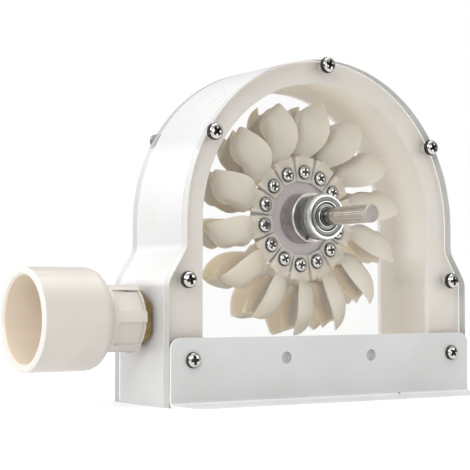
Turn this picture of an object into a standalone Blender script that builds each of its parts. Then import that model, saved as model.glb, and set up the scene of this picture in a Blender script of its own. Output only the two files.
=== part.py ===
"""Small Pelton turbine: a bucket wheel on a shaft, in a plastic casing between two clear plates.

Metres, +Z up. The front, with the shaft end and the bracket, faces -Y; water comes in along +X from the left.
The origin is on the underside of the bracket's foot, on the wheel's centre line.
"""

import math

import bmesh
import bpy
from mathutils import Matrix, Vector

MM = 0.001
GAP = 0.3 * MM

# The casing, seen from the front: a round arch on straight sides, with shoulders down to a wider base
CASING_PLANE = 46 * MM
CASING_HALF_DEPTH = 24 * MM
ARCH_CENTRE_HEIGHT = 98.5 * MM
ARCH_RADIUS = 92 * MM
BASE_HALF_WIDTH = 103 * MM
SHOULDER_TOP = 83.5 * MM
SHOULDER_BOTTOM = 66 * MM
SHOULDER_ROUNDING = 9 * MM
WALL = 4 * MM
WINDOW_RADIUS = 79 * MM
ARCH_STEPS = 36

# The clear plates and the bearings in them
PLATE_THICKNESS = 5 * MM
BEARING_RADIUS = 13 * MM
BEARING_WIDTH = 8 * MM
OUTER_RACE_INNER_RADIUS = 11.3 * MM
SHIELD_INNER_RADIUS = 8 * MM
SHIELD_RECESS = 0.7 * MM
INNER_RACE_RADIUS = 7.4 * MM

# The folded bracket across the front
BRACKET_THICKNESS = 1.5 * MM
BRACKET_HEIGHT = 36.2 * MM
BRACKET_REACH = 30.6 * MM
BRACKET_BEND = 3.4 * MM
BRACKET_CORNER = 6 * MM
BRACKET_HOLE_RADIUS = 3 * MM
BRACKET_HOLE_OFFSET = 29.5 * MM
BRACKET_HOLE_HEIGHT = 24.5 * MM

# The water inlet in the left wall
INLET_HEIGHT = 46 * MM
SOCKET_MOUTH = -173 * MM
SOCKET_END = -132.7 * MM
NECK_START = -125.3 * MM
NECK_END = -106.4 * MM
SOCKET_RADIUS = 27 * MM
SOCKET_BORE = 22.8 * MM
SOCKET_DEPTH = 35 * MM
NECK_CORNER = 18.7 * MM
NECK_CUT = math.radians(16)
NECK_TURN = math.radians(-4)
FLAT_STEP = (math.radians(60) - NECK_CUT) / 4
NECK_BORE = 12 * MM
HEX_RADIUS = 17 * MM
NIPPLE_RADIUS = 10.2 * MM
NIPPLE_BORE = 7.5 * MM
NIPPLE_END = -94 * MM
NOZZLE_TIP = -69 * MM
NOZZLE_RADIUS = 12 * MM
NOZZLE_TIP_RADIUS = 5.5 * MM
JET_RADIUS = 3.5 * MM

# The wheel, in planes measured from the casing's middle plane
AXIS_HEIGHT = 102.4 * MM
SHAFT_RADIUS = 5 * MM
SHAFT_FRONT = -68.7 * MM
SHAFT_REAR = 30 * MM
SHAFT_CHAMFER = 1 * MM
HUB_RADIUS = 14.4 * MM
HUB_FRONT = -15.7 * MM
HUB_SPIGOT_RADIUS = 9 * MM
DISC_RADIUS = 31 * MM
DISC_FRONT = -3.3 * MM
DISC_BACK = 2.7 * MM
BUCKETS = 14
FIRST_BUCKET_ANGLE = math.radians(87)

# One bucket: along the radius, across the wheel, and towards its rounded back
BUCKET_MIDDLE = 0.6 * MM
TAB_FRONT = -5.6 * MM
TAB_INNER_RADIUS = 20.9 * MM
TAB_INNER_HALF_WIDTH = 4.6 * MM
TAB_OUTER_RADIUS = 35.4 * MM
TAB_OUTER_HALF_WIDTH = 6.8 * MM
NECK_LENGTH = 9.5 * MM
NECK_START_SECTION = (5.9 * MM, 4.6 * MM, 5.2 * MM)
NECK_END_SECTION = (9.6 * MM, 0.5 * MM, 3.4 * MM)
LOBE_CENTRE = (50 * MM, 8.6 * MM)
LOBE_DEPTH = 14.5 * MM
LOBE_WALL = 1.7 * MM
RIM_STEP = 0.4 * MM
LOBE_SHARES = (1.0, 0.92, 0.72, 0.36)
DOME_POWER = 2.4
DOME_ROUNDNESS = 0.6
SPLITTER_REACH = 14.6 * MM
SPLITTER_OVERLAP = 0.3 * MM
SPLITTER_HALF_WALL = 0.9 * MM
MEAN_RIM_HEIGHT = -6.5 * MM

# The open rim of one lobe in millimetres: along the radius, out from the bucket's middle, towards the back.
# It runs from the root round the outer side to the pointed tip, and back along the splitter.
LOBE_RIM = (
    (33.5, 3.2, 0.5), (35.4, 8.2, -2.0), (39.4, 12.8, -5.2), (44.4, 16.2, -7.5), (50.0, 17.6, -8.4),
    (55.4, 17.3, -8.3), (60.2, 15.6, -7.8), (64.4, 13.2, -7.2), (67.7, 10.3, -6.7), (65.4, 7.4, -3.6),
    (63.2, 4.6, -1.2), (63.6, 2.2, -4.0), (64.6, 0.0, -7.2), (58.0, 0.0, -7.9), (50.5, 0.0, -7.5),
    (43.5, 0.0, -5.2), (37.0, 0.0, -1.6),
)
ROUND_STEPS = 32


def clear_scene():
    for item in list(bpy.data.objects):
        bpy.data.objects.remove(item, do_unlink=True)


def finish(name, colour, roughness, metallic=0.0, alpha=1.0):
    """A plain Principled material."""
    material = bpy.data.materials.new(name)
    material.use_nodes = True
    shader = material.node_tree.nodes["Principled BSDF"]
    shader.inputs["Base Color"].default_value = (*colour, 1.0)
    shader.inputs["Roughness"].default_value = roughness
    shader.inputs["Metallic"].default_value = metallic
    shader.inputs["Alpha"].default_value = alpha
    return material


def empty(name, location):
    anchor = bpy.data.objects.new(name, None)
    anchor.location = location
    bpy.context.scene.collection.objects.link(anchor)
    return anchor


def place(name, mesh, anchor, material=None):
    """An object on its anchor, with a material of its own and smooth round faces."""
    item = bpy.data.objects.new(name, mesh)
    item.parent = anchor
    bpy.context.scene.collection.objects.link(item)
    if material:
        mesh.materials.clear()
        mesh.materials.append(material)
    mesh.shade_smooth()
    mesh.set_sharp_from_angle(angle=math.radians(35))
    return item


def to_mesh(bm, name):
    bmesh.ops.recalc_face_normals(bm, faces=bm.faces)
    mesh = bpy.data.meshes.new(name)
    bm.to_mesh(mesh)
    bm.free()
    return mesh


def arc(centre_x, centre_z, radius, start, end, steps):
    """Points of an arc, angles in degrees."""
    points = []
    for i in range(steps + 1):
        angle = math.radians(start + (end - start) * i / steps)
        points.append((centre_x + radius * math.cos(angle), centre_z + radius * math.sin(angle)))
    return points


def rounded_corner(before, corner, after, radius, steps):
    """The points of a fillet that replaces one corner of an outline."""
    here = Vector(corner)
    towards_before = (Vector(before) - here).normalized()
    towards_after = (Vector(after) - here).normalized()
    half_angle = towards_before.angle(towards_after) / 2
    reach = radius / math.tan(half_angle)
    centre = here + (towards_before + towards_after).normalized() * (radius / math.sin(half_angle))
    start = here + towards_before * reach - centre
    end = here + towards_after * reach - centre
    points = []
    for i in range(steps + 1):
        turned = start.lerp(end, i / steps).normalized() * radius
        points.append(tuple(centre + turned))
    return points


def right_flank(inset):
    """The casing's right side from the ground up to the arch, at a distance inside the outer face."""
    slope = Vector((SHOULDER_TOP - SHOULDER_BOTTOM, BASE_HALF_WIDTH - ARCH_RADIUS)).normalized()
    drop = inset * (1 - slope.x) / slope.y
    foot = (BASE_HALF_WIDTH - inset, 0.0)
    low = (BASE_HALF_WIDTH - inset, SHOULDER_BOTTOM - drop)
    high = (ARCH_RADIUS - inset, SHOULDER_TOP - drop)
    spring = (ARCH_RADIUS - inset, ARCH_CENTRE_HEIGHT)
    flank = [foot]
    flank += rounded_corner(foot, low, high, SHOULDER_ROUNDING - inset, 4)
    flank += rounded_corner(low, high, spring, SHOULDER_ROUNDING + inset, 4)
    return flank


def mirrored(flank):
    return [(-x, z) for x, z in reversed(flank)]


def casing_outline(inset=0.0):
    """The outline from the right foot, over the arch, to the left foot."""
    flank = right_flank(inset)
    arch = arc(0.0, ARCH_CENTRE_HEIGHT, ARCH_RADIUS - inset, 0, 180, ARCH_STEPS)
    return flank + arch + mirrored(flank)


def window_outline():
    """The window in the casing's flanges, with one point for each point of the casing's outline."""
    flank = [(WINDOW_RADIUS, z) for x, z in right_flank(0.0)]
    arch = arc(0.0, ARCH_CENTRE_HEIGHT, WINDOW_RADIUS, 0, 180, ARCH_STEPS)
    return flank + arch + mirrored(flank)


def prism(bm, outline, axis_start, axis_end):
    """A straight solid along Y over an outline of X and Z."""
    front = [bm.verts.new((x, axis_start, z)) for x, z in outline]
    back = [bm.verts.new((x, axis_end, z)) for x, z in outline]
    bm.faces.new(front)
    bm.faces.new(list(reversed(back)))
    for i in range(len(outline)):
        j = (i + 1) % len(outline)
        bm.faces.new([front[j], front[i], back[i], back[j]])


def swept(bm, rings, closed):
    """Skins a row of point rings; an open row gets a cap at each end."""
    rows = [[bm.verts.new(point) for point in ring] for ring in rings]
    last = len(rows) if closed else len(rows) - 1
    for i in range(last):
        here, there = rows[i], rows[(i + 1) % len(rows)]
        for k in range(len(here)):
            m = (k + 1) % len(here)
            bm.faces.new([here[k], here[m], there[m], there[k]])
    if not closed:
        bm.faces.new(list(reversed(rows[0])))
        bm.faces.new(rows[-1])


def ring_about(axis, along, radius, steps=ROUND_STEPS, corners=0):
    """A ring of points about the Y or X axis; with corners it is a polygon that keeps as many points."""
    points = []
    for i in range(steps):
        angle = 2 * math.pi * i / steps
        reach = radius
        if corners:
            sector = 2 * math.pi / corners
            reach = radius * math.cos(sector / 2) / math.cos((angle % sector) - sector / 2)
        side, up = reach * math.cos(angle), reach * math.sin(angle)
        points.append((side, along, up) if axis == "Y" else (along, side, up))
    return points


def turned(name, axis, profile, closed=True, steps=ROUND_STEPS):
    """A piece turned from (place along the axis, radius) pairs: a ring, or a rod when it is open."""
    bm = bmesh.new()
    swept(bm, [ring_about(axis, along, radius, steps) for along, radius in profile], closed)
    return to_mesh(bm, name)


def cut(item, cutter_mesh, anchor):
    """Cuts a hole in an object with a hidden cutter."""
    cutter = bpy.data.objects.new(item.name + "_cutter", cutter_mesh)
    cutter.parent = anchor
    cutter.hide_render = True
    cutter.display_type = "WIRE"
    bpy.context.scene.collection.objects.link(cutter)
    modifier = item.modifiers.new("Hole", "BOOLEAN")
    modifier.operation = "DIFFERENCE"
    modifier.solver = "EXACT"
    modifier.object = cutter


def casing(anchor):
    """The channel-shaped moulding: a wall all round, with a flange at the front and at the back."""
    outside, inside, window = casing_outline(), casing_outline(WALL), window_outline()
    face, flange = CASING_HALF_DEPTH - GAP, CASING_HALF_DEPTH - WALL
    stations = []
    for (ox, oz), (ix, iz), (wx, wz) in zip(outside, inside, window):
        stations.append([
            (ox, -face, oz), (wx, -face, wz), (wx, -flange, wz), (ix, -flange, iz),
            (ix, flange, iz), (wx, flange, wz), (wx, face, wz), (ox, face, oz),
        ])
    bm = bmesh.new()
    swept(bm, stations, closed=False)
    white = finish("white_casing_plastic", (0.86, 0.86, 0.85), 0.4)
    item = place("casing", to_mesh(bm, "casing"), anchor, white)
    wall_middle = -BASE_HALF_WIDTH + WALL / 2
    profile = [(wall_middle - 2 * WALL, NIPPLE_RADIUS + GAP), (wall_middle + 2 * WALL, NIPPLE_RADIUS + GAP)]
    hole = turned("inlet_hole", "X", profile, closed=False)
    hole.transform(Matrix.Translation((0.0, 0.0, INLET_HEIGHT)))
    cut(item, hole, anchor)


def clear_plate(name, side, anchor):
    """A clear plate of the casing's outline, bored for the bearing. side is -1 at the front and 1 behind."""
    near, far = side * CASING_HALF_DEPTH, side * (CASING_HALF_DEPTH + PLATE_THICKNESS)
    bm = bmesh.new()
    prism(bm, casing_outline(), min(near, far), max(near, far))
    clear = finish(name + "_acrylic", (0.92, 0.95, 0.95), 0.05, alpha=0.35)
    item = place(name, to_mesh(bm, name), anchor, clear)
    reach = CASING_HALF_DEPTH + 2 * PLATE_THICKNESS
    profile = [(-reach, BEARING_RADIUS + GAP), (reach, BEARING_RADIUS + GAP)]
    hole = turned(name + "_bore", "Y", profile, closed=False)
    hole.transform(Matrix.Translation((0.0, 0.0, AXIS_HEIGHT)))
    cut(item, hole, anchor)


def bearing_outer(name, side, anchor):
    """The bearing's outer ring with its two shields."""
    face = side * (CASING_HALF_DEPTH + PLATE_THICKNESS)
    inner_face = face - side * BEARING_WIDTH
    recess = side * SHIELD_RECESS
    profile = [
        (face, OUTER_RACE_INNER_RADIUS), (face, BEARING_RADIUS), (inner_face, BEARING_RADIUS),
        (inner_face, OUTER_RACE_INNER_RADIUS), (inner_face + recess, OUTER_RACE_INNER_RADIUS),
        (inner_face + recess, SHIELD_INNER_RADIUS), (face - recess, SHIELD_INNER_RADIUS),
        (face - recess, OUTER_RACE_INNER_RADIUS),
    ]
    mesh = turned(name, "Y", profile)
    mesh.transform(Matrix.Translation((0.0, 0.0, AXIS_HEIGHT)))
    place(name, mesh, anchor, finish(name + "_steel", (0.75, 0.75, 0.74), 0.25, 1.0))


def bearing_inner(name, side, anchor):
    face = side * (CASING_HALF_DEPTH + PLATE_THICKNESS)
    inner_face = face - side * BEARING_WIDTH
    bore = SHAFT_RADIUS + GAP
    profile = [(face, bore), (face, INNER_RACE_RADIUS), (inner_face, INNER_RACE_RADIUS), (inner_face, bore)]
    place(name, turned(name, "Y", profile), anchor, finish(name + "_steel", (0.75, 0.75, 0.74), 0.25, 1.0))


def front_bracket(anchor):
    """A folded sheet: an upright against the front plate and a foot that comes forward on the ground."""
    back = -CASING_HALF_DEPTH - PLATE_THICKNESS - GAP
    front = back - BRACKET_THICKNESS
    toe = back - BRACKET_REACH
    inner_bend = BRACKET_BEND - BRACKET_THICKNESS
    outer_fold = arc(back - BRACKET_BEND, BRACKET_BEND, BRACKET_BEND, 0, -90, 5)
    inner_fold = arc(back - BRACKET_BEND, BRACKET_BEND, inner_bend, -90, 0, 5)
    section = [(back, BRACKET_HEIGHT)] + outer_fold + [(toe, 0.0), (toe, BRACKET_THICKNESS)] + inner_fold
    section.append((front, BRACKET_HEIGHT))
    bm = bmesh.new()
    ends = [[(x, y, z) for y, z in section] for x in (-BASE_HALF_WIDTH, BASE_HALF_WIDTH)]
    swept(bm, ends, closed=False)
    corners = []
    for edge in bm.edges:
        low, high = edge.verts[0].co, edge.verts[1].co
        at_side = low.x == high.x
        top = at_side and min(low.z, high.z) > BRACKET_HEIGHT - MM
        tip = at_side and max(low.y, high.y) < toe + MM
        if top or tip:
            corners.append(edge)
    bmesh.ops.bevel(bm, geom=corners, offset=BRACKET_CORNER, segments=5, profile=0.5, affect="EDGES")
    grey = finish("painted_steel", (0.78, 0.78, 0.77), 0.45)
    item = place("front_bracket", to_mesh(bm, "front_bracket"), anchor, grey)
    for side in (-1, 1):
        profile = [(front - MM, BRACKET_HOLE_RADIUS), (back + MM, BRACKET_HOLE_RADIUS)]
        hole = turned("bracket_hole", "Y", profile, closed=False, steps=20)
        hole.transform(Matrix.Translation((side * BRACKET_HOLE_OFFSET, 0.0, BRACKET_HOLE_HEIGHT)))
        cut(item, hole, anchor)


def neck_ring(along, radius=None):
    """Six steps for each corner of the neck's hexagon: its cut corner, then its flat; a circle with a radius."""
    half_cut = NECK_CUT / 2
    steps = (-half_cut, 0.0, half_cut, half_cut + FLAT_STEP, half_cut + 2 * FLAT_STEP, half_cut + 3 * FLAT_STEP)
    points = []
    for i in range(6):
        for step in steps:
            reach = NECK_CORNER / math.cos(step)
            if step > half_cut:
                flat = NECK_CORNER / math.cos(half_cut) * math.cos(math.radians(30) - half_cut)
                reach = flat / math.cos(math.radians(30) - step)
            if radius:
                reach = radius
            angle = NECK_TURN + math.radians(60 * i) + step
            points.append((along, reach * math.cos(angle), reach * math.sin(angle)))
    return points


def inlet_adapter(anchor):
    """The plastic pipe adapter: a wide socket for the supply pipe, a cone and a six-sided neck."""
    seat = SOCKET_MOUTH + SOCKET_DEPTH
    bm = bmesh.new()
    rings = [
        neck_ring(SOCKET_MOUTH, SOCKET_BORE),
        neck_ring(SOCKET_MOUTH, SOCKET_RADIUS),
        neck_ring(SOCKET_END, SOCKET_RADIUS),
        neck_ring(NECK_START),
        neck_ring(NECK_END),
        neck_ring(NECK_END, NECK_BORE),
        neck_ring(seat, NECK_BORE),
        neck_ring(seat, SOCKET_BORE),
    ]
    swept(bm, rings, closed=True)
    place("inlet_adapter", to_mesh(bm, "inlet_adapter"), anchor, finish("cream_pvc", (0.80, 0.76, 0.68), 0.4))


def hex_nipple(anchor):
    """The brass nipple: its hexagon sits between the adapter and the casing's wall."""
    hex_near, hex_far = NECK_END + GAP, -BASE_HALF_WIDTH - GAP
    spigot_end = NECK_END - 12 * MM
    bm = bmesh.new()
    rings = [
        ring_about("X", spigot_end, NIPPLE_BORE, 36),
        ring_about("X", spigot_end, NECK_BORE - GAP, 36),
        ring_about("X", hex_near, NECK_BORE - GAP, 36),
        ring_about("X", hex_near, HEX_RADIUS, 36, corners=6),
        ring_about("X", hex_far, HEX_RADIUS, 36, corners=6),
        ring_about("X", hex_far, NIPPLE_RADIUS, 36),
        ring_about("X", NIPPLE_END - GAP, NIPPLE_RADIUS, 36),
        ring_about("X", NIPPLE_END - GAP, NIPPLE_BORE, 36),
    ]
    swept(bm, rings, closed=True)
    place("hex_nipple", to_mesh(bm, "hex_nipple"), anchor, finish("nipple_brass", (0.55, 0.45, 0.25), 0.35, 1.0))


def jet_nozzle(anchor):
    """The tapered nozzle inside the casing, pointing under the wheel's centre."""
    shoulder = NIPPLE_END + 8 * MM
    profile = [
        (NIPPLE_END, NIPPLE_BORE), (NIPPLE_END, NOZZLE_RADIUS), (shoulder, NOZZLE_RADIUS),
        (NOZZLE_TIP, NOZZLE_TIP_RADIUS), (NOZZLE_TIP, JET_RADIUS), (shoulder, NIPPLE_BORE),
    ]
    mesh = turned("jet_nozzle", "X", profile, steps=28)
    place("jet_nozzle", mesh, anchor, finish("nozzle_brass", (0.55, 0.45, 0.25), 0.35, 1.0))


def shaft(anchor):
    radius, chamfer = SHAFT_RADIUS, SHAFT_CHAMFER
    profile = [
        (SHAFT_FRONT, radius - chamfer), (SHAFT_FRONT + chamfer, radius),
        (SHAFT_REAR - chamfer, radius), (SHAFT_REAR, radius - chamfer),
    ]
    mesh = turned("shaft", "Y", profile, closed=False)
    place("shaft", mesh, anchor, finish("shaft_steel", (0.62, 0.60, 0.58), 0.3, 1.0))


def hub(anchor):
    """The metal hub in front of the disc, with a spigot through it."""
    bore = SHAFT_RADIUS + GAP
    seat = DISC_FRONT - GAP
    profile = [
        (HUB_FRONT, bore), (HUB_FRONT, HUB_RADIUS - MM), (HUB_FRONT + MM, HUB_RADIUS), (seat, HUB_RADIUS),
        (seat, HUB_SPIGOT_RADIUS), (DISC_BACK, HUB_SPIGOT_RADIUS), (DISC_BACK, bore),
    ]
    place("hub", turned("hub", "Y", profile), anchor, finish("hub_steel", (0.60, 0.59, 0.58), 0.35, 1.0))


def runner_disc(anchor):
    bore = HUB_SPIGOT_RADIUS + GAP
    profile = [(DISC_FRONT, bore), (DISC_FRONT, DISC_RADIUS), (DISC_BACK, DISC_RADIUS), (DISC_BACK, bore)]
    mesh = turned("runner_disc", "Y", profile, steps=56)
    place("runner_disc", mesh, anchor, finish("disc_plastic", (0.50, 0.48, 0.49), 0.45))


def lobe_ring(side, share, wall, depth):
    """The rim moved in by a wall, drawn in to a share of its size and sunk into a dome of some depth."""
    centre_along, centre_out = LOBE_CENTRE
    rise = depth * (1 - share ** DOME_POWER) ** DOME_ROUNDNESS
    ring = []
    for i, point in enumerate(LOBE_RIM):
        along, out, height = (MM * value for value in point)
        before, after = LOBE_RIM[i - 1], LOBE_RIM[(i + 1) % len(LOBE_RIM)]
        edge = Vector((after[0] - before[0], after[1] - before[1])).normalized()
        if out > 0.0:
            along += wall * edge.y
            out -= wall * edge.x
        else:
            along += wall * (centre_along - along) / SPLITTER_REACH
            out = SPLITTER_HALF_WALL if wall else -SPLITTER_OVERLAP
        ring.append((
            centre_along + share * (along - centre_along),
            BUCKET_MIDDLE + side * (centre_out + share * (out - centre_out)),
            MEAN_RIM_HEIGHT + share * (height - MEAN_RIM_HEIGHT) + rise,
        ))
    return ring


def lobe_solid(side):
    """The outside of one lobe, filled up to its rim."""
    rings = [lobe_ring(side, LOBE_SHARES[-2], 0.0, 0.0)]
    rings += [lobe_ring(side, share, 0.0, LOBE_DEPTH) for share in LOBE_SHARES]
    bm = bmesh.new()
    swept(bm, rings, closed=False)
    return to_mesh(bm, "lobe")


def lobe_hollow(side):
    """The hollow of one lobe, from well in front of its rim down to a wall's thickness from the dome."""
    rim = lobe_ring(side, 1.0, LOBE_WALL, 0.0)
    rings = [[(along, across, height - LOBE_DEPTH) for along, across, height in rim]]
    for share in LOBE_SHARES:
        ring = lobe_ring(side, share, LOBE_WALL, LOBE_DEPTH - LOBE_WALL - RIM_STEP)
        rings.append([(along, across, height + RIM_STEP) for along, across, height in ring])
    bm = bmesh.new()
    swept(bm, rings, closed=False)
    return to_mesh(bm, "hollow")


def section(along, half_width, forward, backward):
    """Four corners across a bucket's neck."""
    return [
        (along, BUCKET_MIDDLE + across, up)
        for across in (-half_width, half_width) for up in (-forward, backward)
    ]


def bucket_root():
    """The flat tab that is screwed to the disc and the thick neck behind it, as two overlapping solids."""
    tab = bmesh.new()
    outline = [
        (TAB_INNER_RADIUS, -TAB_INNER_HALF_WIDTH), (TAB_OUTER_RADIUS, -TAB_OUTER_HALF_WIDTH),
        (TAB_OUTER_RADIUS, TAB_OUTER_HALF_WIDTH), (TAB_INNER_RADIUS, TAB_INNER_HALF_WIDTH),
    ]
    prism(tab, outline, TAB_FRONT, DISC_FRONT - GAP)
    neck = bmesh.new()
    start = DISC_RADIUS + 2 * GAP
    for corner in section(start, *NECK_START_SECTION) + section(start + NECK_LENGTH, *NECK_END_SECTION):
        neck.verts.new(corner)
    bmesh.ops.convex_hull(neck, input=neck.verts)
    return to_mesh(tab, "tab"), to_mesh(neck, "neck")


def joined_mesh(body, others, name):
    """One mesh from a solid, with (operation, mesh) pairs applied to it in order."""
    collection = bpy.context.scene.collection
    item = bpy.data.objects.new(name, body)
    collection.objects.link(item)
    helpers = []
    for operation, mesh in others:
        helper = bpy.data.objects.new(name + "_helper", mesh)
        collection.objects.link(helper)
        helpers.append(helper)
        modifier = item.modifiers.new(operation, "BOOLEAN")
        modifier.operation = operation
        modifier.solver = "EXACT"
        modifier.object = helper
    bpy.context.view_layer.update()
    evaluated = item.evaluated_get(bpy.context.evaluated_depsgraph_get())
    mesh = bpy.data.meshes.new_from_object(evaluated)
    for spare in [item, *helpers]:
        bpy.data.objects.remove(spare, do_unlink=True)
    return mesh


def bucket_mesh():
    """A double bucket with its root: two hollow lobes side by side with the splitter between them."""
    tab, neck = bucket_root()
    steps = [("UNION", lobe_solid(1)), ("UNION", neck), ("UNION", tab)]
    steps += [("DIFFERENCE", lobe_hollow(side)) for side in (-1, 1)]
    return joined_mesh(lobe_solid(-1), steps, "bucket")


def buckets(anchor):
    pattern = bucket_mesh()
    cream = finish("cream_bucket_plastic", (0.72, 0.68, 0.60), 0.42)
    for i in range(BUCKETS):
        item = place(f"bucket_{i + 1:02d}", pattern.copy(), anchor, cream)
        item.rotation_euler.y = -FIRST_BUCKET_ANGLE + 2 * math.pi * i / BUCKETS


def main():
    clear_scene()
    housing = empty("housing_middle", (0.0, CASING_PLANE, 0.0))
    inlet = empty("inlet_axis", (0.0, CASING_PLANE, INLET_HEIGHT))
    rotor = empty("rotor_axis", (0.0, CASING_PLANE, AXIS_HEIGHT))
    casing(housing)
    front_bracket(housing)
    for name, side in (("front", -1), ("rear", 1)):
        clear_plate(name + "_plate", side, housing)
        bearing_outer(name + "_bearing_outer", side, housing)
        bearing_inner(name + "_bearing_inner", side, rotor)
    inlet_adapter(inlet)
    hex_nipple(inlet)
    jet_nozzle(inlet)
    shaft(rotor)
    hub(rotor)
    runner_disc(rotor)
    buckets(rotor)


main()
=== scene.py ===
"""The finished look of a small Pelton turbine: a bucket wheel behind a clear plate in a white casing.

Metres, +Z up, the front towards -Y, as the solids have it. Each piece is modelled from a primitive in edit
mode and stands for the plain solid that holds its place.
"""

import math
from contextlib import contextmanager

import bmesh
import bpy
from mathutils import Matrix, Vector


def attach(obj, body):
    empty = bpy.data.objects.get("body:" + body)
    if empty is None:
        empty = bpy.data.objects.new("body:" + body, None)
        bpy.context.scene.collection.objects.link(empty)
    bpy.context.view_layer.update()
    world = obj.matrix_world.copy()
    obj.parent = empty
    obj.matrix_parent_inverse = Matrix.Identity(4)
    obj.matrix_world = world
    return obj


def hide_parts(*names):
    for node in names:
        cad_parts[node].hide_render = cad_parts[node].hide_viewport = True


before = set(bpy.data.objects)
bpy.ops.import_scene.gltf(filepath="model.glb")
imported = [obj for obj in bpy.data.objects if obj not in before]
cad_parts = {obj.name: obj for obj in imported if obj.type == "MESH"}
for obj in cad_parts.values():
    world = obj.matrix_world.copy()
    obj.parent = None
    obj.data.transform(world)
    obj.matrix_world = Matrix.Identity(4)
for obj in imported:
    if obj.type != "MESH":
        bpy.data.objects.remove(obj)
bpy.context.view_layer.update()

MM = 0.001
RIGHT_ANGLE = math.radians(90)
HOUSING, ROTOR = "housing", "rotor"

# The gap between two pieces, how near counts as the same place, and the steps of a circle
GAP = 0.3 * MM
NEAR = 0.1 * MM
ROUND, FINE_ROUND = 64, 96

# The casing, seen from the front: a round arch on straight sides, with shoulders down to a wider base
CASING_PLANE = 46 * MM
CASING_HALF_DEPTH = 24 * MM
ARCH_CENTRE_HEIGHT = 98.5 * MM
ARCH_RADIUS = 92 * MM
ARCH_STEPS = 120
BASE_HALF_WIDTH = 103 * MM
SHOULDER_TOP = 83.5 * MM
SHOULDER_BOTTOM = 66 * MM
SHOULDER_CUT = 2.6 * MM
WALL = 4 * MM
WINDOW_RADIUS = 79 * MM
WINDOW_FOOT = -10 * MM
MIDDLE_OF_INSIDE = Vector((0.0, CASING_PLANE, ARCH_CENTRE_HEIGHT - 20 * MM))

PLATE_THICKNESS = 5 * MM
PLATE_FACE = CASING_HALF_DEPTH + PLATE_THICKNESS
PLATE_HOLE_RADIUS = 2.3 * MM
PLATE_SCREWS = ((-91.8 * MM, 66.6 * MM), (-75.7 * MM, 145.3 * MM), (-0.4 * MM, 187.5 * MM),
                (75.7 * MM, 145.3 * MM), (91.4 * MM, 66.9 * MM))

BRACKET_THICKNESS = 1.5 * MM
BRACKET_HEIGHT = 36.2 * MM
BRACKET_REACH = 30.6 * MM
BRACKET_BEND = 3.4 * MM
BRACKET_CORNER = 6 * MM
BRACKET_HOLE_RADIUS = 3.3 * MM
BLIND_HOLE_RADIUS = 4.4 * MM
BLIND_HOLE_FACE = 80 * MM * MM
BRACKET_HOLES = ((-29.5 * MM, 24.5 * MM), (29.5 * MM, 24.5 * MM))
BRACKET_SCREWS = ((-89.75 * MM, 24.6 * MM), (89.75 * MM, 24.6 * MM))
PAINT_CHIP = (49.7 * MM, 14.5 * MM, 2.2 * MM)

INLET_HEIGHT = 46 * MM
INLET_LINE = (0.0, CASING_PLANE, INLET_HEIGHT)
SOCKET_MOUTH = -173 * MM
NECK_START = -127 * MM
NECK_END = -110 * MM
SOCKET_RADIUS = 27 * MM
SOCKET_BORE = 22.8 * MM
SOCKET_DEPTH = 35 * MM
SOCKET_SEAT = SOCKET_MOUTH + SOCKET_DEPTH
MOUTH_ROUNDING = 0.8 * MM
NECK_FLAT_RADIUS = 16.4 * MM
NECK_CORE_RADIUS = NECK_FLAT_RADIUS - 0.4 * MM
NECK_CORNER_RADIUS = 18.7 * MM
COLLAR_RADIUS = NECK_CORNER_RADIUS - 0.5 * MM
RIB_WIDTH = 5.8 * MM
NECK_TURN = math.radians(-4)
SOCKET_SHOULDER = (
    (-138.5, 27.0), (-136.5, 26.7), (-134.6, 25.8), (-133.0, 24.3), (-131.9, 22.3), (-131.3, 20.3),
    (-131.0, 18.7),
)
NECK_BORE = 12 * MM
HEX_END = -105.2 * MM
HEX_RADIUS = 17 * MM
NIPPLE_RADIUS = 10.2 * MM
NIPPLE_BORE = 7.5 * MM
THREAD_CREST = NECK_BORE - 0.4 * MM
THREAD_ROOT = NECK_BORE - 1.1 * MM
THREAD_LENGTH = 11 * MM
THREAD_PITCH = 1.2 * MM
NIPPLE_END = -94 * MM
NOZZLE_RADIUS = 12 * MM
NOZZLE_TIP = -69 * MM

AXIS_HEIGHT = 102.4 * MM
WHEEL_CENTRE = (0.0, CASING_PLANE, AXIS_HEIGHT)
SHAFT_RADIUS = 5 * MM
SHAFT_FRONT = -68.7 * MM
SHAFT_REAR = 30 * MM
HUB_RADIUS = 14.4 * MM
HUB_FRONT = -15.7 * MM
HUB_SPIGOT_RADIUS = 9 * MM
HUB_HOLE = (-4.5 * MM, -11.6 * MM)
HUB_HOLE_RADIUS = 1.3 * MM
DISC_RADIUS = 31 * MM
DISC_FRONT = -3.3 * MM
DISC_BACK = 2.7 * MM

# Half sections of the bearing's pieces: depth behind its face and radius, in millimetres
BEARING_RADIUS = 13 * MM
BEARING_WIDTH = 8 * MM
BEARING_SEAT_RADIUS = BEARING_RADIUS + 0.1 * MM
OUTER_RING = (
    (0.55, 11.15), (0.35, 11.3), (0.08, 11.3), (0.0, 11.4), (0.0, 12.1), (0.3, 12.6), (0.8, 12.87),
    (1.5, 12.98), (1.7, 13.0), (7.4, 13.0), (7.82, 12.8), (8.0, 12.4), (8.0, 11.4), (7.92, 11.3),
    (7.45, 11.15),
)
SHIELD = (
    (0.45, 11.1), (0.7, 10.7), (0.75, 9.7), (0.4, 9.1), (0.32, 8.75), (0.32, 8.3), (0.75, 8.05), (1.3, 8.0),
    (1.3, 8.25), (0.95, 8.45), (0.95, 9.2), (1.3, 9.8), (1.3, 11.1),
)
INNER_RING = (
    (0.45, 5.2), (0.1, 5.35), (0.0, 5.5), (0.1, 5.85), (0.3, 6.1), (0.3, 7.1), (0.5, 7.4), (7.5, 7.4),
    (7.7, 7.1), (7.7, 6.1), (7.9, 5.85), (8.0, 5.5), (7.9, 5.35), (7.55, 5.2),
)

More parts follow.
